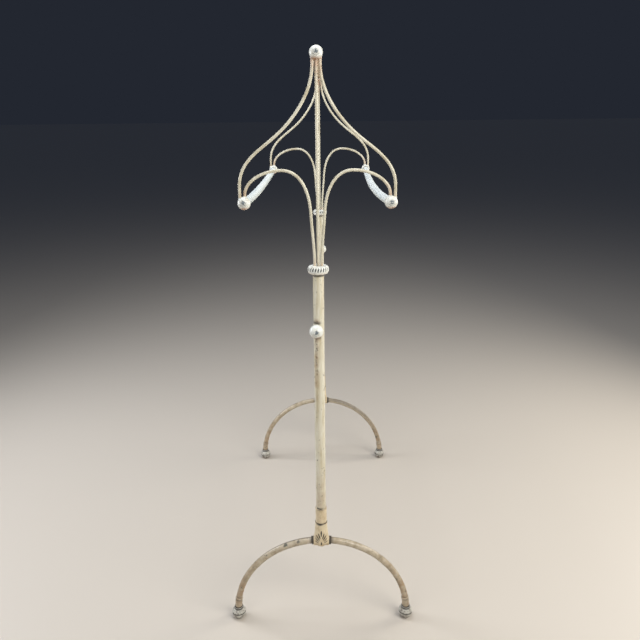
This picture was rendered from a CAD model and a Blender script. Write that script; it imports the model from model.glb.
import math

import bmesh
import bpy
import numpy as np
from mathutils import Matrix, Quaternion, Vector, noise


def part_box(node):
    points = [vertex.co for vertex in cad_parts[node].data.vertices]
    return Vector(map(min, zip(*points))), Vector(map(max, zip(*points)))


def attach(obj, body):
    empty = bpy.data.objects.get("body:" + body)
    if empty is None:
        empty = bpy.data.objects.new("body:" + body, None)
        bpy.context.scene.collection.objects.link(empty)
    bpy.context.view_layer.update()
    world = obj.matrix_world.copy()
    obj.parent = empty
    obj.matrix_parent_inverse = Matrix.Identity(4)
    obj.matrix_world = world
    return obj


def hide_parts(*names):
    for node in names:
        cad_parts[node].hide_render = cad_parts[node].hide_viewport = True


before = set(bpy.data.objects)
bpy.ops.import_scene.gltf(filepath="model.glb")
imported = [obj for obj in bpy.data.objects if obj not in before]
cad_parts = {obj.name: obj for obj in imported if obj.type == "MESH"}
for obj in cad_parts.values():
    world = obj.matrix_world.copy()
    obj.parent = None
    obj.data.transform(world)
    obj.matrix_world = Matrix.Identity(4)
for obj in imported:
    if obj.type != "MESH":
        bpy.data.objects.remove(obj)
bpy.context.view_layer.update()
print("frame loaded, nodes:", len(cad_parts))


# sizes are typed in millimetres and the scene is in metres
def mm(value):
    return value * 0.001


def middleOf(node):
    low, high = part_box(node)
    return (low + high) / 2


def linearColour(hexText):
    shares = [int(hexText[i:i + 2], 16) / 255 for i in (1, 3, 5)]
    return tuple(s / 12.92 if s <= 0.04045 else ((s + 0.055) / 1.055) ** 2.4 for s in shares) + (1.0,)


def patternScale(sizeInMm):
    return 1 / mm(sizeInMm)  # noise scale that gives blobs about this big


def smoothStep(low, high, value):
    share = np.clip((value - low) / (high - low), 0, 1)
    return share * share * (3 - 2 * share)


def toObject(name, bm):
    bmesh.ops.remove_doubles(bm, verts=bm.verts, dist=mm(0.002))
    bmesh.ops.recalc_face_normals(bm, faces=bm.faces)
    mesh = bpy.data.meshes.new(name)
    bm.to_mesh(mesh)
    bm.free()
    piece = bpy.data.objects.new(name, mesh)
    bpy.context.scene.collection.objects.link(piece)
    mesh.shade_smooth()
    return piece


def settle(piece):
    # the modifiers' result becomes the piece's own mesh
    graph = bpy.context.evaluated_depsgraph_get()
    mesh = bpy.data.meshes.new_from_object(piece.evaluated_get(graph))
    piece.modifiers.clear()
    piece.data = mesh
    mesh.name = piece.name
    mesh.shade_smooth()
    return piece


def places(piece):
    found = np.empty(len(piece.data.vertices) * 3)
    piece.data.vertices.foreach_get("co", found)
    return found.reshape(-1, 3)


def outward(piece):
    found = np.empty(len(piece.data.vertices) * 3)
    piece.data.vertices.foreach_get("normal", found)
    return found.reshape(-1, 3)


def movePlaces(piece, points):
    piece.data.vertices.foreach_set("co", points.astype(np.float32).ravel())
    piece.data.update()


def setLayer(piece, name, values):
    layer = piece.data.attributes.get(name) or piece.data.attributes.new(name, "FLOAT", "POINT")
    layer.data.foreach_set("value", np.asarray(values, np.float32))


def getLayer(piece, name):
    layer = piece.data.attributes.get(name)
    if layer is None:
        return np.zeros(len(piece.data.vertices))
    values = np.empty(len(piece.data.vertices), np.float32)
    layer.data.foreach_get("value", values)
    return values.astype(float)


def waviness(points, sizeInMm, offset=0.0):
    scale = patternScale(sizeInMm)
    shift = Vector((offset, -offset, 0.7 * offset))
    return np.array([noise.noise(Vector(p) * scale + shift) for p in points])


def lumpy(piece, sizeInMm, heightInMm, offset=0.0):
    # a hand-made surface: paint laid thick or iron that was never quite smooth
    # the offset shifts the pattern, so that no two pieces have the same lumps
    points = places(piece)
    push = waviness(points, sizeInMm, offset) * mm(heightInMm)
    movePlaces(piece, points + outward(piece) * push[:, None])


def band(value, middle, width):
    # 1 on a line, fading to both sides
    return np.exp(-((value - middle) / width) ** 2)


def pressIn(piece, share, depthInMm, dirt=1.0):
    # sinks the surface by a share of the depth, and remembers the hollow for the grime
    points = places(piece)
    movePlaces(piece, points - outward(piece) * (share * mm(depthInMm))[:, None])
    setLayer(piece, "grime", np.maximum(getLayer(piece, "grime"), share * dirt))


def groove(flat, start, end, widthInMm):
    # share of full depth at each flat point, for one groove that tapers to its ends
    a, b = np.array(start, float), np.array(end, float)
    run = b - a
    along = np.clip(((flat - a) @ run) / (run @ run), 0, 1)
    off = np.linalg.norm(flat - (a + along[:, None] * run), axis=1)
    half = widthInMm / 2 * (0.6 + 0.4 * np.sin(np.pi * along))
    return np.clip(1 - (off / half) ** 2, 0, 1)


def nearness(piece, spots):
    # 1 at each spot, falling to 0 at its reach; a spot is a place and a reach in millimetres
    points = places(piece)
    share = np.zeros(len(points))
    for spot, reach in spots:
        away = np.linalg.norm(points - np.array(spot), axis=1)
        share = np.maximum(share, 1 - smoothStep(0, mm(reach), away))
    return share


def turned(bm, profile, centre, axis="Z", steps=48):
    # a profile of (radius, height) in millimetres, spun about an axis through centre
    up = {"Y": Vector((0, 1, 0)), "Z": Vector((0, 0, 1))}[axis]
    line = [bm.verts.new(Vector(centre) + Vector((mm(r), 0, 0)) + up * mm(h)) for r, h in profile]
    edges = [bm.edges.new(pair) for pair in zip(line, line[1:])]
    bmesh.ops.spin(bm, geom=line + edges, cent=centre, axis=up, angle=2 * math.pi, steps=steps,
                   use_merge=True)
    bmesh.ops.remove_doubles(bm, verts=bm.verts, dist=mm(0.002))


def ballShape(bm, diameter, centre):
    place = Matrix.Translation(centre) @ Matrix.Rotation(math.pi / 2, 4, "X")
    bmesh.ops.create_uvsphere(bm, u_segments=48, v_segments=28, radius=mm(diameter / 2), matrix=place)


def rodShape(bm, radius, start, end, steps=32):
    start, end = Vector(start), Vector(end)
    run = end - start
    place = Matrix.Translation((start + end) / 2) @ run.to_track_quat("Z", "Y").to_matrix().to_4x4()
    bmesh.ops.create_cone(bm, cap_ends=True, segments=steps, radius1=mm(radius), radius2=mm(radius),
                          depth=run.length, matrix=place)


def castSkin(piece, voxelInMm, softness):
    # joins overlapping shapes into one skin with the soft edges of a sand casting
    skin = piece.modifiers.new("skin", "REMESH")
    skin.mode = "VOXEL"
    skin.voxel_size = mm(voxelInMm)
    soft = piece.modifiers.new("soft", "SMOOTH")
    soft.factor = 0.5
    soft.iterations = softness
    return settle(piece)


def cutAway(piece, bm):
    tool = toObject(piece.name + "Tool", bm)
    away = piece.modifiers.new("cut", "BOOLEAN")
    away.operation = "DIFFERENCE"
    away.solver = "EXACT"
    away.object = tool
    settle(piece)
    bpy.data.objects.remove(tool)
    return piece


def halfTurn(piece, name):
    # the rear frame is the front one turned half round the stand's middle
    twin = bpy.data.objects.new(name, piece.data.copy())
    twin.data.name = name
    twin.data.transform(Matrix.Rotation(math.pi, 4, "Z"))
    bpy.context.scene.collection.objects.link(twin)
    return twin


def mirrored(piece, name):
    bm = bmesh.new()
    bm.from_mesh(piece.data)
    bmesh.ops.scale(bm, vec=(-1, 1, 1), verts=bm.verts)
    bmesh.ops.reverse_faces(bm, faces=bm.faces)
    mesh = bpy.data.meshes.new(name)
    bm.to_mesh(mesh)
    bm.free()
    mesh.shade_smooth()
    twin = bpy.data.objects.new(name, mesh)
    bpy.context.scene.collection.objects.link(twin)
    return twin


def fit(piece, node, material, body="stand"):
    piece.data.materials.clear()
    piece.data.materials.append(material)
    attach(piece, body)
    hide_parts(node)
    return piece


def addNode(tree, kind, settings=None):
    # a setting is a socket's value, another node's output to link, or one of the node's own choices
    node = tree.nodes.new(kind)
    for key, value in (settings or {}).items():
        if isinstance(value, bpy.types.NodeSocket):
            tree.links.new(value, node.inputs[key])
        elif isinstance(key, int) or key in node.inputs:
            node.inputs[key].default_value = value
        else:
            setattr(node, key, value)
    return node


# how the paint's layers show: noise ranges are pairs of a start and a full value, depths are in millimetres
wear = {"mottle": (0.46, 0.74), "pale": (0.52, 0.72), "fine": (0.35, 0.7), "stain": (0.3, 0.62),
        "grain": 0.55, "paleGrain": 0.45, "rustChips": 0.05, "chipEdge": 0.025, "rubbedPush": 0.52,
        "bare": (0.78, 0.98), "sheen": 0.12, "dull": 0.25, "brushGrain": 0.8, "brushDepth": 0.25,
        "chipDepth": 0.2, "chipStrength": 0.6}


def agedPaint(name, look):
    # old brush-laid paint: mottled tone, small chips down to dark iron, stains and grime in hollows
    material = bpy.data.materials.new(name)
    material.use_nodes = True
    tree = material.node_tree
    shader = tree.nodes["Principled BSDF"]
    everyWay = addNode(tree, "ShaderNodeTexCoord").outputs["Object"]
    brushed = addNode(tree, "ShaderNodeMapping", {"Scale": look["streak"], "Vector": everyWay}).outputs[0]
    grime, rust, rubbed = [addNode(tree, "ShaderNodeAttribute", {"attribute_name": layer}).outputs["Fac"]
                           for layer in ("grime", "rust", "rubbed")]

    # each tone: the way its pattern runs, its size, detail and range, its strength and its colour
    tones = [(brushed, look["mottleSize"], 3, wear["mottle"], 1, "shade"),
             (brushed, look["mottleSize"] * wear["paleGrain"], 3, wear["pale"], look["paleShare"], "light"),
             (brushed, look["fineSize"], 2, wear["fine"], look["fineShare"], "shade"),
             (everyWay, look["stainSize"], 4, wear["stain"], look["rustShare"], "rust")]
    patterns, coats = [], []
    for along, size, detail, (start, full), strength, tone in tones:
        pattern = addNode(tree, "ShaderNodeTexNoise", {
            "Vector": along, "Scale": patternScale(size), "Detail": detail, "Roughness": wear["grain"]})
        patterns.append(pattern.outputs[0])
        share = addNode(tree, "ShaderNodeMapRange", {
            "Value": pattern.outputs[0], "From Min": start, "From Max": full, "To Max": strength}).outputs[0]
        if tone == "rust":
            share = addNode(tree, "ShaderNodeMath", {"operation": "MULTIPLY", 0: share, 1: rust}).outputs[0]
        coats.append((share, tone))
    dirty = addNode(tree, "ShaderNodeMath", {
        "operation": "MULTIPLY", 0: grime, 1: look["grimeShare"]}).outputs[0]

    # small chips, more of them where the piece is stained, and whole patches where it is rubbed bare
    chipRange = (look["chipStart"], look["chipStart"] + wear["chipEdge"])
    losses = []
    for size, detail, grain, twist, layer, push, (start, full) in (
            (look["chipSize"], 4, 0.62, 0.3, rust, wear["rustChips"], chipRange),
            (look["patchSize"], 3, 0.6, 0, rubbed, wear["rubbedPush"], wear["bare"])):
        pattern = addNode(tree, "ShaderNodeTexNoise", {
            "Vector": everyWay, "Scale": patternScale(size), "Detail": detail, "Roughness": grain,
            "Distortion": twist})
        raised = addNode(tree, "ShaderNodeMath", {
            "operation": "MULTIPLY_ADD", 0: layer, 1: push, 2: pattern.outputs[0]})
        losses.append(addNode(tree, "ShaderNodeMapRange", {
            "Value": raised.outputs[0], "From Min": start, "From Max": full}).outputs[0])
    chips = addNode(tree, "ShaderNodeMath", {"operation": "MAXIMUM", 0: losses[0], 1: losses[1]}).outputs[0]
    bare = addNode(tree, "ShaderNodeMath", {
        "operation": "MULTIPLY", 0: chips, 1: look["chipShare"]}).outputs[0]

    colour = linearColour(look["base"])
    for share, tone in coats + [(dirty, "grime"), (bare, "iron")]:
        colour = addNode(tree, "ShaderNodeMix", {
            "data_type": "RGBA", 0: share, 6: colour, 7: linearColour(look[tone])}).outputs[2]
    tree.links.new(colour, shader.inputs["Base Color"])

    # bare and dirty places are duller than the paint
    gloss = addNode(tree, "ShaderNodeMapRange", {
        "Value": patterns[2], "From Min": wear["fine"][0], "From Max": wear["fine"][1],
        "To Min": look["roughness"], "To Max": look["roughness"] + wear["sheen"]}).outputs[0]
    dull = addNode(tree, "ShaderNodeMath", {"operation": "MAXIMUM", 0: chips, 1: dirty}).outputs[0]
    rough = addNode(tree, "ShaderNodeMath", {
        "operation": "MULTIPLY_ADD", "use_clamp": True, 0: dull, 1: wear["dull"], 2: gloss})
    tree.links.new(rough.outputs[0], shader.inputs["Roughness"])

    # brush marks stand up a little, and chips lie a coat of paint lower
    brushMarks = addNode(tree, "ShaderNodeTexNoise", {
        "Vector": brushed, "Scale": patternScale(look["fineSize"] * wear["brushGrain"]), "Detail": 3})
    marks = addNode(tree, "ShaderNodeBump", {
        "Strength": look["bump"], "Distance": mm(wear["brushDepth"]), "Height": brushMarks.outputs[0]})
    sunk = addNode(tree, "ShaderNodeBump", {
        "Strength": wear["chipStrength"], "Distance": mm(wear["chipDepth"]), "invert": True,
        "Height": chips, "Normal": marks.outputs[0]})
    tree.links.new(sunk.outputs[0], shader.inputs["Normal"])
    return material


# pattern sizes are in millimetres, after the blotches, hairs and chips of old brushed paint
paintLooks = {
    # brushed enamel on thin iron rod: cream, softly streaked, tiny chips to dark iron
    "creamEnamelOnIronRod": dict(
        base="#d3d0bd", shade="#b5ac90", light="#dfdccc", iron="#4a4034", rust="#b07a5a", grime="#5d5240",
        streak=(1, 1, 0.45), mottleSize=24, paleShare=0.5, fineSize=6, fineShare=0.08, stainSize=8,
        patchSize=4, rustShare=0.7, grimeShare=0.85, chipSize=7, chipStart=0.72, chipShare=0.75,
        roughness=0.34, bump=0.03),
    # the same enamel on the post, with long upright brush streaks and a browner foot
    "creamEnamelOnIronTube": dict(
        base="#e0ddcb", shade="#c2b795", light="#ebe9dd", iron="#443f36", rust="#a88a66", grime="#332f2a",
        streak=(1, 1, 0.1), mottleSize=7, paleShare=0.6, fineSize=2.2, fineShare=0.35, stainSize=14,
        patchSize=3.5, rustShare=0.8, grimeShare=0.97, chipSize=5, chipStart=0.655, chipShare=0.85,
        roughness=0.3, bump=0.1),
    # thick ivory enamel on rough castings: cool and chalky on top, grime held in the hollows
    "ivoryEnamelOnCastIron": dict(
        base="#e4e8e2", shade="#cdcbbd", light="#eff3f0", iron="#515d66", rust="#ad7440", grime="#2e323a",
        streak=(1, 1, 1), mottleSize=8, paleShare=0.7, fineSize=2.5, fineShare=0.2, stainSize=9,
        patchSize=3, rustShare=0.95, grimeShare=0.95, chipSize=4, chipStart=0.71, chipShare=0.8,
        roughness=0.26, bump=0.15),
    # the tee's enamel has yellowed to a stone colour
    "yellowedEnamelOnCastIron": dict(
        base="#dfd1b2", shade="#c4b08a", light="#e8dfc8", iron="#4b4034", rust="#ad8a5c", grime="#2a2826",
        streak=(1, 1, 0.7), mottleSize=9, paleShare=0.5, fineSize=2.5, fineShare=0.25, stainSize=7,
        patchSize=3, rustShare=0.5, grimeShare=1.0, chipSize=4, chipStart=0.7, chipShare=0.8,
        roughness=0.38, bump=0.2),
    # greyed and rubbed enamel on the bent tube of the bows, with bigger chips
    "greyedEnamelOnBentTube": dict(
        base="#bdb19b", shade="#8d8068", light="#d2cbbb", iron="#363b34", rust="#96724b", grime="#4a4540",
        streak=(1, 1, 1), mottleSize=16, paleShare=0.6, fineSize=4, fineShare=0.35, stainSize=12,
        patchSize=7, rustShare=0.75, grimeShare=0.9, chipSize=9, chipStart=0.66, chipShare=0.85,
        roughness=0.22, bump=0.12),
    # worn pale grey enamel on cast feet, brown rust where they meet the floor
    "wornEnamelOnCastFeet": dict(
        base="#cbcac0", shade="#8f8a80", light="#dcded7", iron="#343332", rust="#5a3c29", grime="#24221f",
        streak=(1, 1, 1), mottleSize=7, paleShare=0.7, fineSize=2, fineShare=0.4, stainSize=7,
        patchSize=4, rustShare=0.95, grimeShare=1.0, chipSize=5, chipStart=0.65, chipShare=0.75,
        roughness=0.42, bump=0.3),
    # cool white paint brushed along turned wood, thin enough to leave streaks
    "whitePaintOnTurnedWood": dict(
        base="#edf2ef", shade="#cbd8d8", light="#f7faf8", iron="#8d8f84", rust="#b09a7c", grime="#7b8078",
        streak=(1, 0.06, 1), mottleSize=7, paleShare=0.7, fineSize=2.0, fineShare=0.5, stainSize=8,
        patchSize=4, rustShare=0.5, grimeShare=0.8, chipSize=3, chipStart=0.68, chipShare=0.5,
        roughness=0.38, bump=0.25),
    # cream enamel broken up by rust on the iron rail under the top balls
    "rustyEnamelOnIronRail": dict(
        base="#d2c2a6", shade="#b3936f", light="#e2d9c4", iron="#4d3524", rust="#8a5836", grime="#4f3b2b",
        streak=(1, 0.5, 1), mottleSize=10, paleShare=0.5, fineSize=2.5, fineShare=0.4, stainSize=7,
        patchSize=5, rustShare=0.95, grimeShare=0.9, chipSize=6, chipStart=0.62, chipShare=0.75,
        roughness=0.5, bump=0.3),
    # the same ivory enamel over peened rivet heads, rubbed through to blue-grey iron in the middle
    "rubbedEnamelOnPeenedRivet": dict(
        base="#dde1db", shade="#c3c3b8", light="#e9ece8", iron="#4c5a63", rust="#8d6f50", grime="#2e323a",
        streak=(1, 1, 1), mottleSize=5, paleShare=0.5, fineSize=1.5, fineShare=0.3, stainSize=4,
        patchSize=3, rustShare=0.7, grimeShare=0.95, chipSize=3, chipStart=0.7, chipShare=0.9,
        roughness=0.3, bump=0.25),
}
paint = {name: agedPaint(name, look) for name, look in paintLooks.items()}
print("materials ready:", len(paint))

# the stand's main places, all taken from the frame
topPlace = middleOf("front_top_rivet")
shoulderPlace = middleOf("front_shoulder_rivet_right")
midPlace = middleOf("front_mid_rivet")
collarPlace = middleOf("front_collar")
framePlane = middleOf("front_centre_rod").y
crownHeight = middleOf("front_tee_rivet").z
footReach = middleOf("front_foot_ball_right").x
bowCentre = Vector((0, framePlane, crownHeight - footReach))
topBallPlace = Vector((0, framePlane, topPlace.z))
shoulderBallPlace = Vector((shoulderPlace.x, framePlane, shoulderPlace.z))
midSlope = midPlace.x / midPlace.y  # the middle rail runs slightly askew through the stand's middle


def besides(x, z):
    # a point of the front frame's plane, in millimetres
    return Vector((mm(x), framePlane, mm(z)))


rod = {"diameter": 4.8, "pitch": 6.0, "collarTop": 6.75, "foot": 1.2, "topEnd": 4.2, "ballEnd": 4.2,
       "roundSteps": 7, "bendSteps": 22, "wave": (22, 0.05), "handle": 0.3,
       "archRust": (46, 24), "ogeeRust": (22, 46), "centreRust": (20, 60), "jointDirt": 0.7,
       "jointReach": 0.22}
arch = {"straight": 5, "springReach": 11.2, "springDrop": 19, "springLean": 0.05, "peakReach": 58,
        "peakRise": 51.7, "riseHandle": 43, "innerHandle": 28, "outerHandle": 32, "dropHandle": 21,
        "landing": 13, "seat": -1.9}
ogee = {"straight": 15.5, "upperHandle": 40, "waistReach": 61, "waistRise": 108.2, "waistSlope": 0.86,
        "waistHandleIn": 26, "waistHandleOut": 31, "dropHandle": 43, "landing": 24, "seat": 6.2}

collarAt = collarPlace.z * 1000
shoulderAt = shoulderPlace.z * 1000
topAt = topPlace.z * 1000
shoulderOut = shoulderPlace.x * 1000


def bentRod(name, stops):
    # each stop: its place, the handle before it and the handle after it, all (x, z) in millimetres
    curve = bpy.data.curves.new(name, "CURVE")
    curve.dimensions = "3D"
    curve.resolution_u = rod["bendSteps"]
    curve.bevel_depth = mm(rod["diameter"] / 2)
    curve.bevel_resolution = rod["roundSteps"]
    curve.use_fill_caps = True
    spline = curve.splines.new("BEZIER")
    spline.bezier_points.add(len(stops) - 1)
    for knot, (place, before, after) in zip(spline.bezier_points, stops):
        knot.handle_left_type = knot.handle_right_type = "FREE"
        knot.co = besides(*place)
        knot.handle_left = besides(*before)
        knot.handle_right = besides(*after)
    holder = bpy.data.objects.new(name + "Line", curve)
    bpy.context.scene.collection.objects.link(holder)
    graph = bpy.context.evaluated_depsgraph_get()
    mesh = bpy.data.meshes.new_from_object(holder.evaluated_get(graph))
    bm = bmesh.new()
    bm.from_mesh(mesh)
    bpy.data.objects.remove(holder)
    bpy.data.curves.remove(curve)
    bpy.data.meshes.remove(mesh)
    piece = toObject(name, bm)
    lumpy(piece, *rod["wave"], offset=3.1)
    return piece


def towards(start, end):
    # a handle on a straight stretch
    share = rod["handle"]
    return (start[0] + (end[0] - start[0]) * share, start[1] + (end[1] - start[1]) * share)


def archStops(side):
    foot = (side * rod["pitch"], collarAt + rod["foot"])
    start = (side * rod["pitch"], collarAt + rod["collarTop"] + arch["straight"])
    spring = (side * arch["springReach"], shoulderAt - arch["springDrop"])
    riser = (spring[1] - start[1]) / 3
    crown = (side * arch["peakReach"], shoulderAt + arch["peakRise"])
    endX = side * (shoulderOut + arch["seat"])
    landing = (endX, shoulderAt + arch["landing"])
    end = (endX, shoulderAt + rod["ballEnd"])
    lean = side * arch["springLean"]
    return [
        (foot, foot, towards(foot, start)),
        (start, towards(start, foot), (start[0], start[1] + riser)),
        (spring, (spring[0] - lean * riser, spring[1] - riser),
         (spring[0] + lean * arch["riseHandle"], spring[1] + arch["riseHandle"])),
        (crown, (crown[0] - side * arch["innerHandle"], crown[1]),
         (crown[0] + side * arch["outerHandle"], crown[1])),
        (landing, (endX, landing[1] + arch["dropHandle"]), towards(landing, end)),
        (end, towards(end, landing), end),
    ]


def ogeeStops(side):
    headX = side * rod["pitch"]
    start = (headX, topAt - rod["topEnd"])
    head = (headX, topAt - ogee["straight"])
    waist = (side * ogee["waistReach"], shoulderAt + ogee["waistRise"])
    endX = side * (shoulderOut + ogee["seat"])
    landing = (endX, shoulderAt + ogee["landing"])
    end = (endX, shoulderAt + rod["ballEnd"])
    slope = ogee["waistSlope"]
    before, after = ogee["waistHandleIn"], ogee["waistHandleOut"]
    return [
        (start, start, towards(start, head)),
        (head, towards(head, start), (headX, head[1] - ogee["upperHandle"])),
        (waist, (waist[0] - side * before, waist[1] + slope * before),
         (waist[0] + side * after, waist[1] - slope * after)),
        (landing, (endX, landing[1] + ogee["dropHandle"]), towards(landing, end)),
        (end, towards(end, landing), end),
    ]


def makeRod(node, stops, joints, reaches):
    # rust and a little dirt where the rod enters the castings
    piece = bentRod(camel("front_" + node), stops)
    setLayer(piece, "rust", nearness(piece, zip(joints, reaches)))
    dirtReach = [reach * rod["jointReach"] for reach in reaches]
    setLayer(piece, "grime", rod["jointDirt"] * nearness(piece, zip(joints, dirtReach)))
    return node, piece


opposite = {"left": "right", "right": "left"}


def otherHand(node):
    hand = node.rsplit("_", 1)[-1]
    return node[:-len(hand)] + opposite[hand] if hand in opposite else node


def camel(node):
    first, *rest = node.split("_")
    return first + "".join(word.capitalize() for word in rest)


def bothFrames(piece, node, material):
    # fits the piece in the front frame and its half-turned twin in the rear one
    rear = "rear_" + otherHand(node)
    twin = halfTurn(piece, camel(rear))
    fit(piece, "front_" + node, material)
    fit(twin, rear, material)


rods = []
for side, hand in ((-1, "left"), (1, "right")):
    ballSpot = (side * shoulderPlace.x, framePlane, shoulderPlace.z)
    rods.append(makeRod("arch_rod_" + hand, archStops(side), (ballSpot, collarPlace), rod["archRust"]))
    rods.append(makeRod("ogee_rod_" + hand, ogeeStops(side), (ballSpot, topBallPlace), rod["ogeeRust"]))
low, high = (0, collarAt + rod["foot"]), (0, topAt - rod["topEnd"])
stops = [(low, low, towards(low, high)), (high, towards(high, low), high)]
rods.append(makeRod("centre_rod", stops, (collarPlace, topBallPlace), rod["centreRust"]))
rodPaint = paint["creamEnamelOnIronRod"]
for node, piece in rods:
    bothFrames(piece, node, rodPaint)
print("rods bent")


post = {"diameter": 19, "sides": 48, "rows": 320, "dents": (26, 0.22), "wave": (7, 0.12),
        "ballDirt": [(11.4, 2.6), (-15.0, 2.8)], "ballWidth": 7.5, "ballStains": [(-14, 17), (13, 9)],
        "collarDirt": 9.2, "collarDirtWidth": 1.7, "ringDirt": 1.5, "ringRise": 1.2, "ringWidth": 1.6,
        "footStain": 0.75, "footStainTop": 420, "footStainFull": 230,
        "runLength": 190, "runFull": 0.35, "runWidth": 4.2, "runSide": 1.0, "runNicks": 0.55}
ferrule = {"inner": 9.8, "outer": 10.9, "height": 33, "bead": 0.45, "rise": 46.3, "sides": 64, "rows": 10,
           "stain": 0.5, "dirtAround": 0.25, "dirtInFront": 1.1}


def makePost():
    low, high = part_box("front_post")
    radius = mm(post["diameter"] / 2)
    bm = bmesh.new()
    middle = Matrix.Translation((0, framePlane, (low.z + high.z) / 2))
    bmesh.ops.create_cone(bm, cap_ends=True, segments=post["sides"], radius1=radius, radius2=radius,
                          depth=high.z - low.z, matrix=middle)
    upright = [e for e in bm.edges if abs(e.verts[0].co.z - e.verts[1].co.z) > mm(1)]
    bmesh.ops.subdivide_edges(bm, edges=upright, cuts=post["rows"], use_grid_fill=True)
    piece = toObject("frontPost", bm)
    lumpy(piece, *post["dents"], offset=1.7)
    lumpy(piece, *post["wave"], offset=5.9)
    points = places(piece)
    height = points[:, 2] * 1000
    facing = smoothStep(0.2, 0.9, -outward(piece)[:, 1])
    front = facing > 0
    fromBall = (points[:, 0] - midSlope * framePlane) * 1000
    belowBall = midPlace.z * 1000 - height

    # dirt over the ferrule on its left, above and below the ball, and under the collar
    ferruleTop = crownHeight * 1000 + ferrule["rise"] + ferrule["height"]
    ring = post["ringDirt"] * band(height, ferruleTop + post["ringRise"], post["ringWidth"])
    ring = np.minimum(ring * smoothStep(0.35, 0.95, facing) * smoothStep(6, -2, points[:, 0] * 1000), 1)
    dirt = [ring, band(height, collarAt - post["collarDirt"], post["collarDirtWidth"])]
    for rise, width in post["ballDirt"]:
        dirt.append(np.exp(-(fromBall / post["ballWidth"]) ** 4) * band(-belowBall, rise, width) * front)
    setLayer(piece, "grime", np.maximum.reduce(dirt))

    # water has run down from the middle ball and left a brown streak on the post's front
    run = smoothStep(post["runLength"], post["runLength"] * post["runFull"], belowBall) * (belowBall > 0)
    run = run * band(fromBall, -post["runSide"], post["runWidth"]) * front
    setLayer(piece, "rubbed", post["runNicks"] * run)
    spots = [((midSlope * framePlane, framePlane - mm(8), midPlace.z + mm(rise)), reach)
             for rise, reach in post["ballStains"]]
    stains = nearness(piece, spots)
    footStain = smoothStep(post["footStainTop"], post["footStainFull"], height) * post["footStain"]
    setLayer(piece, "rust", np.maximum.reduce([stains, footStain, run]))
    return piece


def makeFerrule():
    outer, lip, tall, inner = ferrule["outer"], ferrule["bead"], ferrule["height"], ferrule["inner"]
    bm = bmesh.new()
    turned(bm, [(inner, 0), (outer - 0.3, 0), (outer + lip * 0.5, 0.5), (outer + lip, 1.6),
                (outer + lip * 0.5, 2.8), (outer, 3.6), (outer, tall - 3.6), (outer + lip * 0.45, tall - 2.9),
                (outer + lip * 0.8, tall - 1.8), (outer + lip * 0.4, tall - 0.7), (outer - 0.4, tall),
                (inner, tall), (inner, 0)],
           (0, framePlane, crownHeight + mm(ferrule["rise"])), steps=ferrule["sides"])
    bm.edges.ensure_lookup_table()
    long = [e for e in bm.edges if abs(e.verts[0].co.z - e.verts[1].co.z) > mm(10)]
    bmesh.ops.subdivide_edges(bm, edges=long, cuts=ferrule["rows"], use_grid_fill=True)
    piece = toObject("frontPostFerrule", bm)
    lumpy(piece, 6, 0.15, offset=2.2)
    points = places(piece)
    height = (points[:, 2] - crownHeight) * 1000 - ferrule["rise"]
    frontLeft = smoothStep(0.45, 0.95, -outward(piece)[:, 1]) * smoothStep(9, -3, points[:, 0] * 1000)
    rims = np.maximum(band(height, tall, 1.2), band(height, -0.2, 1.6))
    dirt = rims * (ferrule["dirtAround"] + ferrule["dirtInFront"] * frontLeft)
    setLayer(piece, "grime", np.minimum(dirt, 1))
    setLayer(piece, "rust", np.full(len(points), ferrule["stain"]))
    return piece


bothFrames(makePost(), "post", paint["creamEnamelOnIronTube"])
bothFrames(makeFerrule(), "post_ferrule", paint["yellowedEnamelOnCastIron"])
print("posts and ferrules ready")


# the rubbed spots are places across the bow and how far each reaches
bow = {"diameter": 13, "steps": 150, "sides": 36, "dents": (30, 0.25), "wave": (8, 0.1),
       "rust": 0.9, "rustTop": 185, "rustFull": 40, "teeDirt": 0.114, "teeDirtWidth": 0.014,
       "sleeveDirt": 0.6, "sleeveDirtWidth": 0.008, "backDirt": 0.7, "spotRise": 5, "spotFront": 3.5,
       "rubbedSpots": [(-46, 9), (-71, 11), (44, 5), (-112, 7), (-140, 8), (120, 6)]}
sleeve = {"low": 29.6, "high": 52, "radius": 7.6, "wall": 0.6, "steps": 22, "lip": 0.3, "stain": 0.45,
          "dirt": 0.75}


def arcTube(bm, radius, lowAngle, highAngle, steps):
    # a tube along the bow; angles run from the right foot, through the crown, to the left foot
    start = bowCentre + Vector((footReach * math.cos(lowAngle), 0, footReach * math.sin(lowAngle)))
    place = Matrix.Translation(start) @ Matrix.Rotation(-lowAngle, 4, "Y")
    made = bmesh.ops.create_circle(bm, cap_ends=False, segments=bow["sides"], radius=mm(radius), matrix=place)
    ring = list({e for v in made["verts"] for e in v.link_edges})
    bmesh.ops.spin(bm, geom=made["verts"] + ring, cent=bowCentre, axis=(0, -1, 0),
                   angle=highAngle - lowAngle, steps=steps, use_merge=False)


def closeEnds(bm):
    bmesh.ops.holes_fill(bm, edges=[e for e in bm.edges if e.is_boundary], sides=0)


def arcAngle(points):
    return np.arctan2(points[:, 2] - bowCentre.z, points[:, 0])


def fromBowLine(points):
    # unit directions away from the bow's centre line
    angle = arcAngle(points)
    line = np.column_stack([footReach * np.cos(angle), np.full(len(points), framePlane),
                            bowCentre.z + footReach * np.sin(angle)])
    away = points - line
    return away / np.maximum(np.linalg.norm(away, axis=1), 1e-9)[:, None]


def sleeveAngle(height):
    return math.asin((mm(height) - bowCentre.z) / footReach)


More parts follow.
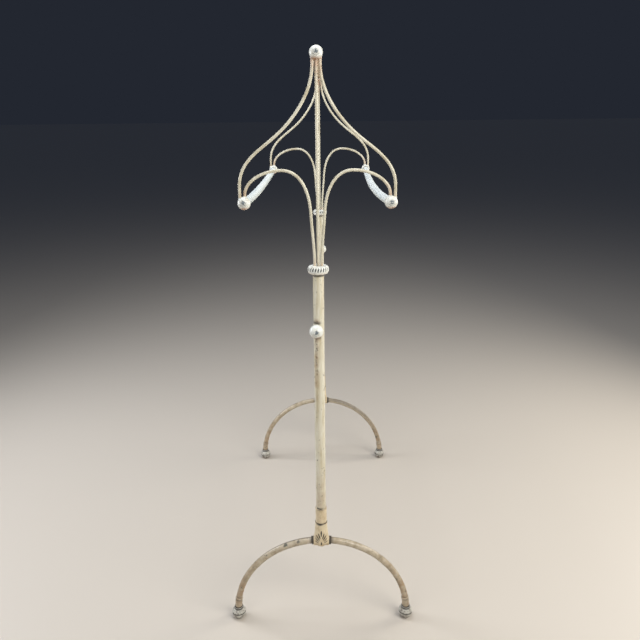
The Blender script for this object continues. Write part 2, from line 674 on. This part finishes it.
def makeBow():
    bm = bmesh.new()
    arcTube(bm, bow["diameter"] / 2, 0, math.pi, bow["steps"])
    closeEnds(bm)
    piece = toObject("frontFootBow", bm)
    lumpy(piece, *bow["dents"], offset=4.4)
    lumpy(piece, *bow["wave"], offset=0.6)
    points = places(piece)
    angle = arcAngle(points)
    setLayer(piece, "rust", smoothStep(bow["rustTop"], bow["rustFull"], points[:, 2] * 1000) * bow["rust"])
    # dirt in the joints, and along the back of the left arm's top, where dust lies
    sleeveTop = sleeveAngle(sleeve["high"]) + bow["sleeveDirtWidth"]
    dirt = [band(angle, math.pi / 2 + turn, bow["teeDirtWidth"])
            for turn in (-bow["teeDirt"], bow["teeDirt"])]
    dirt += [bow["sleeveDirt"] * band(angle, place, bow["sleeveDirtWidth"])
             for place in (sleeveTop, math.pi - sleeveTop)]
    backTop = fromBowLine(points) @ np.array([0, 0.64, 0.77])
    dirt.append(bow["backDirt"] * smoothStep(0.45, 0.95, backTop) * smoothStep(0.02, -0.05, points[:, 0]))
    setLayer(piece, "grime", np.maximum.reduce(dirt))
    spots = []
    for across, reach in bow["rubbedSpots"]:
        along = math.acos(mm(across) / footReach)
        rise = footReach * math.sin(along) + mm(bow["spotRise"])
        spots.append((bowCentre + Vector((mm(across), -mm(bow["spotFront"]), rise)), reach))
    setLayer(piece, "rubbed", nearness(piece, spots))
    return piece


def makeSleeve():
    low = sleeveAngle(sleeve["low"]) + 0.003
    high = sleeveAngle(sleeve["high"])
    bm = bmesh.new()
    arcTube(bm, sleeve["radius"] - 0.5, low, high, sleeve["steps"])
    bmesh.ops.recalc_face_normals(bm, faces=bm.faces)
    bmesh.ops.solidify(bm, geom=bm.faces, thickness=mm(sleeve["wall"]))
    piece = toObject("frontFootSleeveRight", bm)
    points = places(piece)
    share = (arcAngle(points) - low) / (high - low)
    swell = 0.4 + sleeve["lip"] * band(share, 0.93, 0.08) - 0.45 * smoothStep(0.99, 1.0, share)
    away = fromBowLine(points)
    outside = smoothStep(0.0, 1.0, (outward(piece) * away).sum(axis=1))
    movePlaces(piece, points + away * (mm(swell) * outside)[:, None])
    setLayer(piece, "grime", sleeve["dirt"] * band(share, 0.82, 0.06))
    setLayer(piece, "rust", np.full(len(points), sleeve["stain"]))
    return piece


tee = {"bodyDiameter": 30, "bodyDepth": 28, "bodyRaise": 2.5, "armRadius": 10, "armReach": 15.5,
       "lipRadius": 8.6, "lipReach": 19.6, "armSteps": 16, "socketRadius": 12, "waistRadius": 14, "rim": 46,
       "rimBead": 0.35, "skin": 0.5, "grooveDepth": 1.1, "grooveFill": 1.8,
       "armBands": [(16.3, 0.75), (18.2, 0.6)], "bandTop": 14, "bandDepth": 0.9, "bandDirt": 0.9,
       "lumps": (4.5, 0.28), "stain": 0.55,
       "rivetReach": 14, "rivetSeat": 4.0, "rivetSink": 0.7}
# the cast leaf: each groove's two ends, across and up from the body's middle, and its width
leafGrooves = [((0, 16), (0, 27.5), 3.1), ((2.6, 10.5), (5.6, 20.5), 3.0), ((4.2, 7), (9.6, 15.5), 3.3),
               ((5.8, 3.6), (11.4, 8.4), 3.0), ((6.0, 0), (11.4, 1.6), 2.4), ((0, 1.5), (0, -5.5), 3.2)]


def makeTee():
    bm = bmesh.new()
    bodyCentre = Vector((0, framePlane, crownHeight + mm(tee["bodyRaise"])))
    shape = Matrix.Diagonal((1, tee["bodyDepth"] / tee["bodyDiameter"], 1, 1))
    bmesh.ops.create_uvsphere(bm, u_segments=48, v_segments=32, radius=mm(tee["bodyDiameter"] / 2),
                              matrix=Matrix.Translation(bodyCentre) @ shape)
    for radius, reach in ((tee["armRadius"], tee["armReach"]), (tee["lipRadius"], tee["lipReach"])):
        spread = mm(reach) / footReach
        tube = bmesh.new()
        arcTube(tube, radius, math.pi / 2 - spread, math.pi / 2 + spread, tee["armSteps"])
        closeEnds(tube)
        bmesh.ops.recalc_face_normals(tube, faces=tube.faces)
        holder = bpy.data.meshes.new("tube")
        tube.to_mesh(holder)
        tube.free()
        bm.from_mesh(holder)
        bpy.data.meshes.remove(holder)
    waist, socket, rim, lip = tee["waistRadius"], tee["socketRadius"], tee["rim"], tee["rimBead"]
    turned(bm, [(0, 0), (waist, 0), (waist, 14), (waist - 0.9, 22), (socket + 0.1, 33), (socket, rim - 4),
                (socket + lip * 0.7, rim - 3), (socket + lip, rim - 1.7), (socket + lip * 0.5, rim - 0.4),
                (socket - 0.6, rim), (0, rim)], (0, framePlane, crownHeight))
    piece = castSkin(toObject("frontFootTee", bm), tee["skin"], 3)

    # the leaf on both faces, and two turned bands on each arm
    points = places(piece)
    normal = outward(piece)
    across = np.abs(points[:, 0]) * 1000
    height = (points[:, 2] - crownHeight) * 1000
    flat = np.column_stack([across, (points[:, 2] - bodyCentre.z) * 1000])
    leaf = np.maximum.reduce([groove(flat, start, end, width) for start, end, width in leafGrooves])
    leaf = np.minimum(leaf * tee["grooveFill"], 1) * smoothStep(0.25, 0.55, np.abs(normal[:, 1]))
    pressIn(piece, leaf, tee["grooveDepth"])
    onArm = height < tee["bandTop"]
    bands = np.maximum.reduce([band(across, middle, width) for middle, width in tee["armBands"]]) * onArm
    pressIn(piece, bands, tee["bandDepth"])
    lumpy(piece, *tee["lumps"], offset=1.1)
    frontLeft = smoothStep(0.5, 0.95, -normal[:, 1]) * smoothStep(7, -3, points[:, 0] * 1000)
    rimDirt = np.maximum(smoothStep(rim - 0.8, rim - 0.2, height), band(height, rim - 1.0, 1.6) * frontLeft)
    armDirt = tee["bandDirt"] * smoothStep(15.2, 16.0, across) * onArm
    setLayer(piece, "grime", np.maximum.reduce([getLayer(piece, "grime"), rimDirt, armDirt]))
    setLayer(piece, "rust", tee["stain"] * smoothStep(30, 4, height))
    seat = bmesh.new()
    face = framePlane + mm(tee["rivetReach"])
    rodShape(seat, tee["rivetSeat"], (0, face - mm(tee["rivetSink"]), crownHeight),
             (0, face + mm(6), crownHeight))
    return cutAway(piece, seat)


bothFrames(makeBow(), "foot_bow", paint["greyedEnamelOnBentTube"])
rightSleeve = makeSleeve()
leftSleeve = mirrored(rightSleeve, "frontFootSleeveLeft")
for piece, node in ((rightSleeve, "foot_sleeve_right"), (leftSleeve, "foot_sleeve_left")):
    bothFrames(piece, node, paint["greyedEnamelOnBentTube"])
bothFrames(makeTee(), "foot_tee", paint["yellowedEnamelOnCastIron"])
print("bows and tees ready")


collar = {"diameter": 36, "thickness": 13.5, "rim": 13, "roundSteps": 16, "sides": 88, "skin": 0.45,
          "flutes": 23, "fluteLength": 7.4, "fluteWidth": 3.0, "fluteSlant": 1.7, "fluteDepth": 1.1,
          "fluteRise": 2.4, "fluteEnd": 0.8, "fluteFill": 1.6, "lumps": (4, 0.3), "stain": 0.45,
          "rodDirt": 0.7}


def makeCollar():
    bm = bmesh.new()
    half, rim, radius = collar["thickness"] / 2, collar["rim"], collar["diameter"] / 2
    profile = [(0, -half)]
    for i in range(collar["roundSteps"] + 1):
        angle = math.pi * (i / collar["roundSteps"] - 0.5)
        profile.append((rim + (radius - rim) * math.cos(angle) ** 0.8, half * math.sin(angle)))
    profile.append((0, half))
    turned(bm, profile, collarPlace, steps=collar["sides"])
    piece = castSkin(toObject("frontCollar", bm), collar["skin"], 2)
    points = (places(piece) - np.array(collarPlace)) * 1000
    angle = np.arctan2(points[:, 1], points[:, 0])
    pitch = 2 * math.pi / collar["flutes"]
    height = points[:, 2] - collar["fluteRise"]
    lean = height * collar["fluteSlant"] / (radius * pitch * collar["fluteLength"])
    slot = (angle + math.pi / 2) / pitch + 0.5 - lean
    across = (slot - np.floor(slot) - 0.5) * pitch * radius
    flat = np.column_stack([across, height])
    reach = collar["fluteLength"] / 2 - collar["fluteEnd"]
    share = groove(flat, (0, -reach), (0, reach), collar["fluteWidth"])
    onEdge = smoothStep(rim + 0.5, rim + 2, np.hypot(points[:, 0], points[:, 1]))
    share = np.minimum(share * collar["fluteFill"], 1) * onEdge
    pressIn(piece, share, collar["fluteDepth"])
    lumpy(piece, *collar["lumps"], offset=8.8)
    under = smoothStep(-5.4, -6.6, points[:, 2])
    mouths = [((mm(side * rod["pitch"]), framePlane, collarPlace.z + mm(half)), 5.5) for side in (-1, 0, 1)]
    rodDirt = collar["rodDirt"] * nearness(piece, mouths)
    setLayer(piece, "grime", np.maximum.reduce([getLayer(piece, "grime"), under, rodDirt]))
    setLayer(piece, "rust", collar["stain"] * smoothStep(1, -8, points[:, 2]))
    return piece


bothFrames(makeCollar(), "collar", paint["ivoryEnamelOnCastIron"])


# the rails end in cast balls, with a rosette round the rivet and small necks for the rods
ballSizes = {"top": 20.9, "shoulder": 21.4, "mid": 24}
ballDetail = {"rivetFlat": 1.5, "seatPlane": 4.6, "flatPlane": 6.4, "neckRadius": 2.8, "neckReach": 11.1,
              "petals": 6, "petalDepth": 0.3, "rosette": 6.2, "topRail": 4.75, "sideRail": 6.5,
              "skin": 0.42, "lumps": (6, 0.22), "neckDirt": 0.55, "topNeck": 10.9, "topSideNeck": 8.9,
              "wornSide": 0.6, "wornRise": 2.4, "wornReach": 7.2, "topWear": 0.8, "shoulderWear": 0.86,
              "midWear": 1.1}


def rosetteShare(points, centre):
    # short grooves round the rivet head, on the outer face
    across = (points[:, 0] - centre[0]) * 1000
    up = (points[:, 2] - centre[2]) * 1000
    away = np.hypot(across, up)
    angle = np.arctan2(up, across)
    pitch = 2 * math.pi / ballDetail["petals"]
    radius = ballDetail["rosette"]
    side = np.abs(((angle / pitch) % 1) - 0.5) * 2
    spoke = smoothStep(0.45, 0.95, 1 - side)
    spoke *= smoothStep(3.2, 4.2, away) * smoothStep(radius, radius - 1.2, away)
    ring = band(away, 4.4, 0.55)
    return np.maximum(spoke * 0.45, ring * 0.4) * (points[:, 1] < centre[1])


def makeRailBall(name, diameter, centre, railRadius, necks, worn):
    # each neck: its place across, its way up or down and its reach
    radius = diameter / 2
    bm = bmesh.new()
    ballShape(bm, diameter, centre)
    for x, direction, reach in necks:
        start = Vector(centre) + Vector((mm(x), 0, direction * mm(radius * 0.4)))
        end = Vector(centre) + Vector((mm(x), 0, direction * mm(reach)))
        rodShape(bm, ballDetail["neckRadius"], start, end)
    piece = castSkin(toObject(name, bm), ballDetail["skin"], 3)
    lumpy(piece, *ballDetail["lumps"], offset=centre[0] * 90 + centre[2] * 7)
    pressIn(piece, rosetteShare(places(piece), centre), ballDetail["petalDepth"])
    if railRadius:
        # the rail's seat, and the flat face round it
        for toolRadius, plane in ((railRadius + 0.3, "seatPlane"), (radius + 3, "flatPlane")):
            tool = bmesh.new()
            start = Vector(centre) + Vector((0, mm(ballDetail[plane]), 0))
            rodShape(tool, toolRadius, start, start + Vector((0, mm(30), 0)))
            cutAway(piece, tool)
    points = places(piece)
    dirt = [getLayer(piece, "grime")]
    for x, direction, reach in necks:
        end = (centre[0] + mm(x), centre[1], centre[2] + direction * mm(reach))
        dirt.append(ballDetail["neckDirt"] * nearness(piece, [(end, 3.4)]))
    below = smoothStep(-radius * 0.4, -radius * 0.85, (points[:, 2] - centre[2]) * 1000)
    # the middle of the outer face is rubbed to the iron, a little above the rivet
    wornX, wornZ = centre[0] + mm(ballDetail["wornSide"]), centre[2] + mm(ballDetail["wornRise"])
    away = np.hypot(points[:, 0] - wornX, points[:, 2] - wornZ) * 1000
    rubbed = worn * (1 - smoothStep(0, ballDetail["wornReach"], away))
    setLayer(piece, "rubbed", rubbed * (points[:, 1] < centre[1]))
    setLayer(piece, "grime", np.maximum.reduce(dirt))
    setLayer(piece, "rust", below)
    return piece


cast = paint["ivoryEnamelOnCastIron"]
necks = [(-rod["pitch"], -1, ballDetail["topSideNeck"]), (0, -1, ballDetail["topNeck"]),
         (rod["pitch"], -1, ballDetail["topSideNeck"])]
topBall = makeRailBall("frontTopBall", ballSizes["top"], tuple(topBallPlace), ballDetail["topRail"], necks,
                       ballDetail["topWear"])
bothFrames(topBall, "top_ball", cast)
for side, hand in ((-1, "left"), (1, "right")):
    centre = (side * shoulderBallPlace.x, framePlane, shoulderBallPlace.z)
    necks = [(side * arch["seat"], 1, ballDetail["neckReach"] + 0.2),
             (side * ogee["seat"], 1, ballDetail["neckReach"] - 2.1)]
    ball = makeRailBall("frontShoulderBall" + hand.capitalize(), ballSizes["shoulder"], centre,
                        ballDetail["sideRail"], necks, ballDetail["shoulderWear"])
    bothFrames(ball, "shoulder_ball_" + hand, cast)

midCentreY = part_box("front_mid_ball")[0].y + mm(ballSizes["mid"] / 2 - ballDetail["rivetFlat"])
midCentre = (midSlope * midCentreY, midCentreY, midPlace.z)
midBall = makeRailBall("frontMidBall", ballSizes["mid"], midCentre, 0, [], ballDetail["midWear"])
saddle = bmesh.new()
ends = [(0, framePlane, midPlace.z + mm(rise)) for rise in (-40, 40)]
rodShape(saddle, post["diameter"] / 2 + 0.3, *ends)
bothFrames(cutAway(midBall, saddle), "mid_ball", cast)
print("collars and balls ready")


foot = {"diameter": 28.7, "pad": 11, "neckRadius": 8.7, "neckTop": 29.0, "petals": 10, "petalDepth": 0.7,
        "grooveDepth": 1.0, "beads": 14, "beadDepth": 0.8, "beadRadius": 1.4, "ringDepth": 0.7, "rows": 24,
        "sides": 64, "skin": 0.5, "lumps": (4.5, 0.32), "stain": 0.2}


def makeFoot():
    radius = foot["diameter"] / 2
    padAngle = math.asin(foot["pad"] / foot["diameter"])
    middle = radius * math.cos(padAngle)
    bm = bmesh.new()
    pad, neck, top = foot["pad"] / 2, foot["neckRadius"], foot["neckTop"]
    profile = [(0, 0), (pad + 1.2, 0), (pad + 2.6, 1.2), (pad + 2.2, 2.4)]
    neckAngle = math.asin(neck / radius)
    for i in range(2, foot["rows"] + 1):
        angle = padAngle + (math.pi - neckAngle - padAngle) * i / foot["rows"]
        profile.append((radius * math.sin(angle), middle - radius * math.cos(angle)))
    profile += [(neck - 0.9, top - 3.0), (neck + 0.3, top - 2.2), (neck + 0.3, top - 0.6),
                (neck - 1.0, top), (0, top)]
    centre = Vector((footReach, framePlane, 0))
    turned(bm, profile, centre, steps=foot["sides"])
    piece = castSkin(toObject("frontFootBallRight", bm), foot["skin"], 1)
    points = (places(piece) - np.array(centre)) * 1000
    angle = np.arctan2(points[:, 1], points[:, 0])
    height = points[:, 2]
    equator = band(height, middle + 0.8 - 1.4 * np.sin(angle + 0.4), 1.2)  # the groove runs a little tilted
    pressIn(piece, equator, foot["grooveDepth"])
    pitch = 2 * math.pi / foot["petals"]
    side = np.abs(((angle / pitch) % 1) - 0.5) * 2
    spoke = smoothStep(0.8, 1.0, side) * smoothStep(3.5, 5.5, height)
    spoke *= smoothStep(middle - 1.5, middle - 3, height)
    pressIn(piece, spoke, foot["petalDepth"], dirt=0.8)
    beads = np.zeros(len(points))
    for ring, count, offset in ((middle + 3.6, foot["beads"], 0.0), (middle + 8.0, foot["beads"] - 4, 0.5)):
        at = math.sqrt(max(radius ** 2 - (ring - middle) ** 2, 1))
        step = 2 * math.pi / count
        across = (((angle / step + offset) % 1) - 0.5) * step * at
        away = np.hypot(across, (height - ring) * radius / at)
        beads = np.maximum(beads, np.clip(1 - (away / foot["beadRadius"]) ** 2, 0, 1))
    pressIn(piece, beads, foot["beadDepth"], dirt=0.75)
    pressIn(piece, band(height, top - 3.9, 1.3), foot["ringDepth"])
    lumpy(piece, *foot["lumps"], offset=6.1)
    ends = np.maximum(smoothStep(3.2, 1.4, height), smoothStep(top - 0.7, top - 0.2, height))
    setLayer(piece, "grime", np.maximum(getLayer(piece, "grime"), ends))
    setLayer(piece, "rust", np.maximum(smoothStep(12, 5, height), foot["stain"]))
    points = places(piece)  # nothing may go below the floor
    points[:, 2] = np.maximum(points[:, 2], 0.0)
    movePlaces(piece, points)
    return piece


rightFoot = makeFoot()
leftFoot = mirrored(rightFoot, "frontFootBallLeft")
for piece, node in ((rightFoot, "foot_ball_right"), (leftFoot, "foot_ball_left")):
    bothFrames(piece, node, paint["wornEnamelOnCastFeet"])
print("feet ready")


rivet = {"head": 8, "dome": 1.8, "shank": 4, "teeHead": 6.5, "teeDome": 1.6, "teeShank": 3, "rows": 7,
         "sides": 32, "chamfer": 0.4, "hammer": 0.5, "hammerLength": 2.2, "wornSide": 0.6, "wornRise": 1.8,
         "wornCore": 1.5, "wornReach": 0.85}


def makeRivet(name, low, high, head, dome, shank, slope=0.0, facing=-1):
    # facing says which way the head looks along Y
    centre = (low + high) / 2
    length = (high.y - low.y) * 1000
    profile = []
    for i in range(rivet["rows"] + 1):
        angle = math.pi / 2 * i / rivet["rows"]
        profile.append((head / 2 * math.sin(angle), dome * (1 - math.cos(angle) ** 0.8)))
    profile += [(shank / 2, dome), (shank / 2, length - rivet["chamfer"]),
                (shank / 2 - rivet["chamfer"], length), (0, length)]
    bm = bmesh.new()
    turned(bm, profile, (0, 0, 0), axis="Y", steps=rivet["sides"])
    if facing > 0:
        bmesh.ops.rotate(bm, cent=(0, 0, 0), matrix=Matrix.Rotation(math.pi, 3, "Z"), verts=bm.verts)
    bmesh.ops.rotate(bm, cent=(0, 0, 0), matrix=Matrix.Rotation(-math.atan(slope), 3, "Z"), verts=bm.verts)
    start = low.y if facing < 0 else high.y
    lift = slope * start if slope else centre.x
    bmesh.ops.translate(bm, vec=(lift, start, centre.z), verts=bm.verts)
    piece = toObject(name, bm)
    points = places(piece)
    nearHead = np.abs(points[:, 1] - start) < mm(dome * 0.8)
    blows = waviness(points, rivet["hammerLength"], offset=centre.x * 50 + centre.z * 30)
    push = blows * mm(rivet["hammer"]) * nearHead
    inward = np.array([0, -facing, 0])
    movePlaces(piece, points + inward * np.maximum(push, 0)[:, None])
    wornX, wornZ = lift + mm(rivet["wornSide"]), centre.z + mm(rivet["wornRise"])
    away = np.hypot(points[:, 0] - wornX, points[:, 2] - wornZ) * 1000
    setLayer(piece, "rubbed", 1 - smoothStep(rivet["wornCore"], head * rivet["wornReach"], away))
    return piece


for part in ("top_rivet", "shoulder_rivet_left", "shoulder_rivet_right", "mid_rivet"):
    low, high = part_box("front_" + part)
    slope = midSlope if part == "mid_rivet" else 0.0
    piece = makeRivet(camel("front_" + part), low, high, rivet["head"], rivet["dome"], rivet["shank"], slope)
    bothFrames(piece, part, paint["rubbedEnamelOnPeenedRivet"])
low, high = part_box("front_tee_rivet")
piece = makeRivet("frontTeeRivet", low, high, rivet["teeHead"], rivet["teeDome"], rivet["teeShank"], facing=1)
bothFrames(piece, "tee_rivet", paint["rubbedEnamelOnPeenedRivet"])
print("rivets ready")


rail = {"topRadius": 4.75, "midRadius": 4.75, "barRound": 0.5, "sideEnd": 6.5, "sideMiddle": 7.5, "sag": 12,
        "turn": 20, "stations": 90, "sides": 36, "endRound": 0.9, "barLumps": (12, 0.18),
        "sideDents": (22, 0.35), "sideLumps": (6, 0.14), "barRustReach": 120, "midRust": 0.4,
        "barDirt": 0.6, "sideRust": 0.6, "sideDirt": 0.8}


def makeBar(name, node, radius, rustShare, slope=0.0):
    low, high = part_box(node)
    half = (high.y - low.y) * 500
    edge, stations = rail["barRound"], rail["stations"]
    bm = bmesh.new()
    profile = [(0, -half), (radius - edge, -half), (radius, -half + edge)]
    profile += [(radius, (half - edge) * (2 * i / stations - 1)) for i in range(1, stations)]
    profile += [(radius, half - edge), (radius - edge, half), (0, half)]
    turned(bm, profile, (0, 0, 0), axis="Y", steps=rail["sides"])
    bmesh.ops.rotate(bm, cent=(0, 0, 0), matrix=Matrix.Rotation(-math.atan(slope), 3, "Z"), verts=bm.verts)
    bmesh.ops.translate(bm, vec=(0, 0, (low.z + high.z) / 2), verts=bm.verts)
    piece = toObject(name, bm)
    lumpy(piece, *rail["barLumps"], offset=2.5)
    out = np.abs(places(piece)[:, 1]) * 1000
    setLayer(piece, "rust", rustShare * smoothStep(half - rail["barRustReach"], half, out))
    setLayer(piece, "grime", rail["barDirt"] * smoothStep(half - 3, half, out))
    return piece


def makeSideRail(name, node, side):
    low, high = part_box(node)
    half = (high.y - low.y) * 500
    swell = rail["sideMiddle"] - rail["sideEnd"]
    bm = bmesh.new()
    profile = [(0, -half), (rail["sideEnd"] - rail["endRound"], -half)]
    for i in range(rail["stations"] + 1):
        along = -half + rail["endRound"] + (2 * half - 2 * rail["endRound"]) * i / rail["stations"]
        profile.append((rail["sideEnd"] + swell * (1 - (along / half) ** 2), along))
    profile += [(rail["sideEnd"] - rail["endRound"], half), (0, half)]
    turned(bm, profile, (0, 0, 0), axis="Y", steps=rail["sides"])
    for vert in bm.verts:
        vert.co.z -= mm(rail["sag"]) * (1 - (vert.co.y / mm(half)) ** 2)
    turn = Matrix.Rotation(math.radians(rail["turn"]), 3, "Y")
    bmesh.ops.rotate(bm, cent=(0, 0, 0), matrix=turn, verts=bm.verts)
    bmesh.ops.translate(bm, vec=(side * shoulderPlace.x, 0, shoulderPlace.z), verts=bm.verts)
    piece = toObject(name, bm)
    lumpy(piece, *rail["sideDents"], offset=side * 2.0)
    lumpy(piece, *rail["sideLumps"], offset=side * 4.0)
    out = np.abs(places(piece)[:, 1]) * 1000
    setLayer(piece, "rust", rail["sideRust"] * smoothStep(half - 14, half, out))
    setLayer(piece, "grime", rail["sideDirt"] * smoothStep(half - 2.5, half, out))
    return piece


topRail = makeBar("topRail", "top_rail", rail["topRadius"], 1.0)
fit(topRail, "top_rail", paint["rustyEnamelOnIronRail"])
midRail = makeBar("midRail", "mid_rail", rail["midRadius"], rail["midRust"], midSlope)
fit(midRail, "mid_rail", rodPaint)
for side, hand in ((-1, "left"), (1, "right")):
    piece = makeSideRail("sideRail" + hand.capitalize(), "side_rail_" + hand, side)
    fit(piece, "side_rail_" + hand, paint["whitePaintOnTurnedWood"], hand + "_side_rail")
print("rails ready")


studio = {"floorColour": "#c8c1b6", "floorSize": 80.0, "floorRoughness": 0.5, "worldColour": "#363c49",
          "horizonColour": "#232730", "riseStart": 0.2, "riseEnd": 0.6}


def makeFloor():
    bm = bmesh.new()
    bmesh.ops.create_grid(bm, x_segments=4, y_segments=4, size=studio["floorSize"])
    floor = toObject("floor", bm)
    material = bpy.data.materials.new("matPaleFloor")
    material.use_nodes = True
    shader = material.node_tree.nodes["Principled BSDF"]
    shader.inputs["Base Color"].default_value = linearColour(studio["floorColour"])
    shader.inputs["Roughness"].default_value = studio["floorRoughness"]
    floor.data.materials.append(material)


# each softbox: its place, what it looks at, its width, height and lean, its power and its colour
softboxes = {
    "rightKey": ((1.05, -1.12, 1.45), (0, -0.2, 0.45), 1.3, 0.55, -32, 24, "#fffaf3"),
    "leftFill": ((-1.0, -1.9, 1.3), (0, -0.1, 0.6), 1.4, 1.4, 0, 13, "#fffaf4"),
    "rightEdge": ((1.5, 0.4, 0.95), (0, 0, 0.65), 0.7, 0.7, 0, 13, "#fff9f0"),
    "leftEdge": ((-1.5, 0.2, 1.05), (0, 0, 0.65), 0.7, 0.7, 0, 14, "#f9faff"),
    "overhead": ((-0.3, 0.0, 2.4), (0, 0, 0.5), 1.1, 1.1, 0, 25, "#f6f9ff"),
}


def makeLights():
    for name, (place, target, width, tall, lean, power, colour) in softboxes.items():
        lamp = bpy.data.lights.new(name, "AREA")
        lamp.shape = "RECTANGLE"
        lamp.size = width
        lamp.size_y = tall
        lamp.energy = power
        lamp.color = linearColour(colour)[:3]
        holder = bpy.data.objects.new(name, lamp)
        holder.location = place
        aim = Vector(target) - Vector(place)
        leaning = Quaternion((0, 0, 1), math.radians(lean))
        holder.rotation_euler = (aim.to_track_quat("-Z", "Y") @ leaning).to_euler()
        bpy.context.scene.collection.objects.link(holder)


def makeWorld():
    # dark behind the stand and a little lighter overhead, like a draped studio
    world = bpy.data.worlds.new("dimStudio")
    world.use_nodes = True
    tree = world.node_tree
    direction = addNode(tree, "ShaderNodeTexCoord").outputs["Generated"]
    upward = addNode(tree, "ShaderNodeSeparateXYZ", {0: direction}).outputs["Z"]
    share = addNode(tree, "ShaderNodeMapRange", {
        "Value": upward, "From Min": studio["riseStart"], "From Max": studio["riseEnd"]}).outputs[0]
    cloth = addNode(tree, "ShaderNodeMix", {
        "data_type": "RGBA", 0: share, 6: linearColour(studio["horizonColour"]),
        7: linearColour(studio["worldColour"])}).outputs[2]
    tree.links.new(cloth, tree.nodes["Background"].inputs["Color"])
    bpy.context.scene.world = world


view = {"place": (0.0095, -1.2688, 1.0067), "tilt": 19.45, "yaw": 0.45, "roll": 0.61, "lens": 32.9}


def makeCamera():
    lens = bpy.data.cameras.new("camera")
    lens.lens = view["lens"]
    lens.sensor_width = 36
    lens.clip_start = 0.05
    camera = bpy.data.objects.new("camera", lens)
    tilt, yaw, roll = (math.radians(view[k]) for k in ("tilt", "yaw", "roll"))
    turn = (Matrix.Rotation(yaw, 4, "Z") @ Matrix.Rotation(math.pi / 2 - tilt, 4, "X")
            @ Matrix.Rotation(-roll, 4, "Z"))
    camera.matrix_world = Matrix.Translation(view["place"]) @ turn
    bpy.context.scene.collection.objects.link(camera)
    bpy.context.scene.camera = camera


makeFloor()
makeLights()
makeWorld()
makeCamera()
bpy.context.scene.view_settings.view_transform = "Standard"
print("studio ready")
